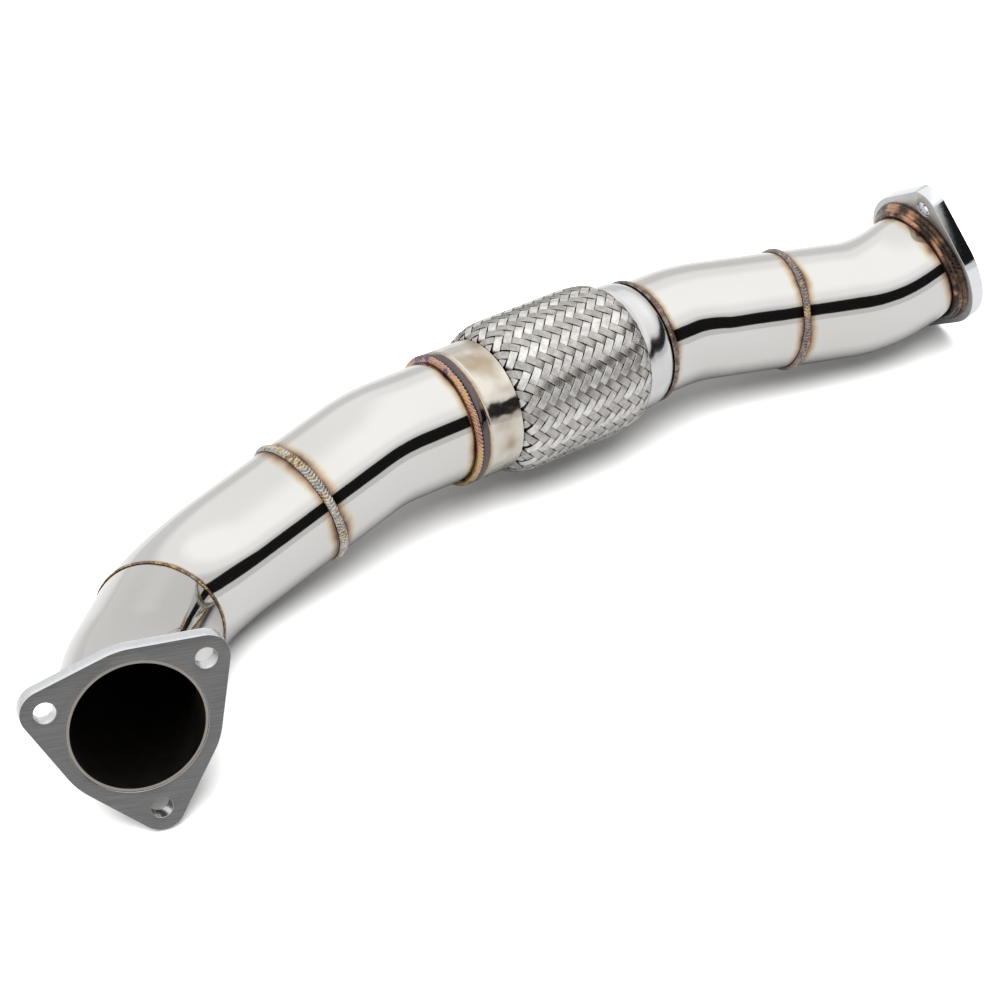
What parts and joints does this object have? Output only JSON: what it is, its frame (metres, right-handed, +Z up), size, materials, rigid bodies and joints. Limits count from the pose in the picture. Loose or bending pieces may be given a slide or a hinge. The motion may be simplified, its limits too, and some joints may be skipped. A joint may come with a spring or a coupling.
{
  "type": "turbo downpipe",
  "caption": "Bent polished steel tubes welded end to end from a bolted inlet flange to a bolted outlet flange, with a braided flex joint between them.",
  "frame": {"origin": "centre of the inlet flange's front face", "axes": "+X along the flex joint, away from the inlet, +Z up from the surface that the part lies on, as it comes to rest"},
  "size_m": [0.7536, 0.2, 0.1262],
  "materials": {
    "polished_tube": "mirror-polished stainless steel tube",
    "flange_plate": "brushed steel plate with bright cut edges",
    "weld_bead": "rippled weld with heat tint in straw, copper and purple",
    "collar_steel": "polished stainless steel with a light straw heat tint",
    "woven_wire": "braided bright stainless steel wire",
    "thin_strip": "thin plain stainless steel"
  },
  "bodies": {
    "root": {"inlet_flange": "flange_plate", "inlet_flange_weld": "weld_bead", "inlet_stub": "polished_tube", "stub_weld": "weld_bead", "front_elbow": "polished_tube", "elbow_weld": "weld_bead", "front_bend": "polished_tube", "flex_front_weld": "weld_bead", "flex_front_collar": "collar_steel", "flex_braid": "woven_wire", "flex_bellows": "thin_strip", "flex_liner": "thin_strip", "flex_rear_collar": "collar_steel", "flex_rear_weld": "weld_bead", "rear_bend": "polished_tube", "rear_weld": "weld_bead", "outlet_elbow": "polished_tube", "outlet_root_weld": "weld_bead", "outlet_cap_weld": "weld_bead", "outlet_flange": "flange_plate"}
  },
  "joints": []
}
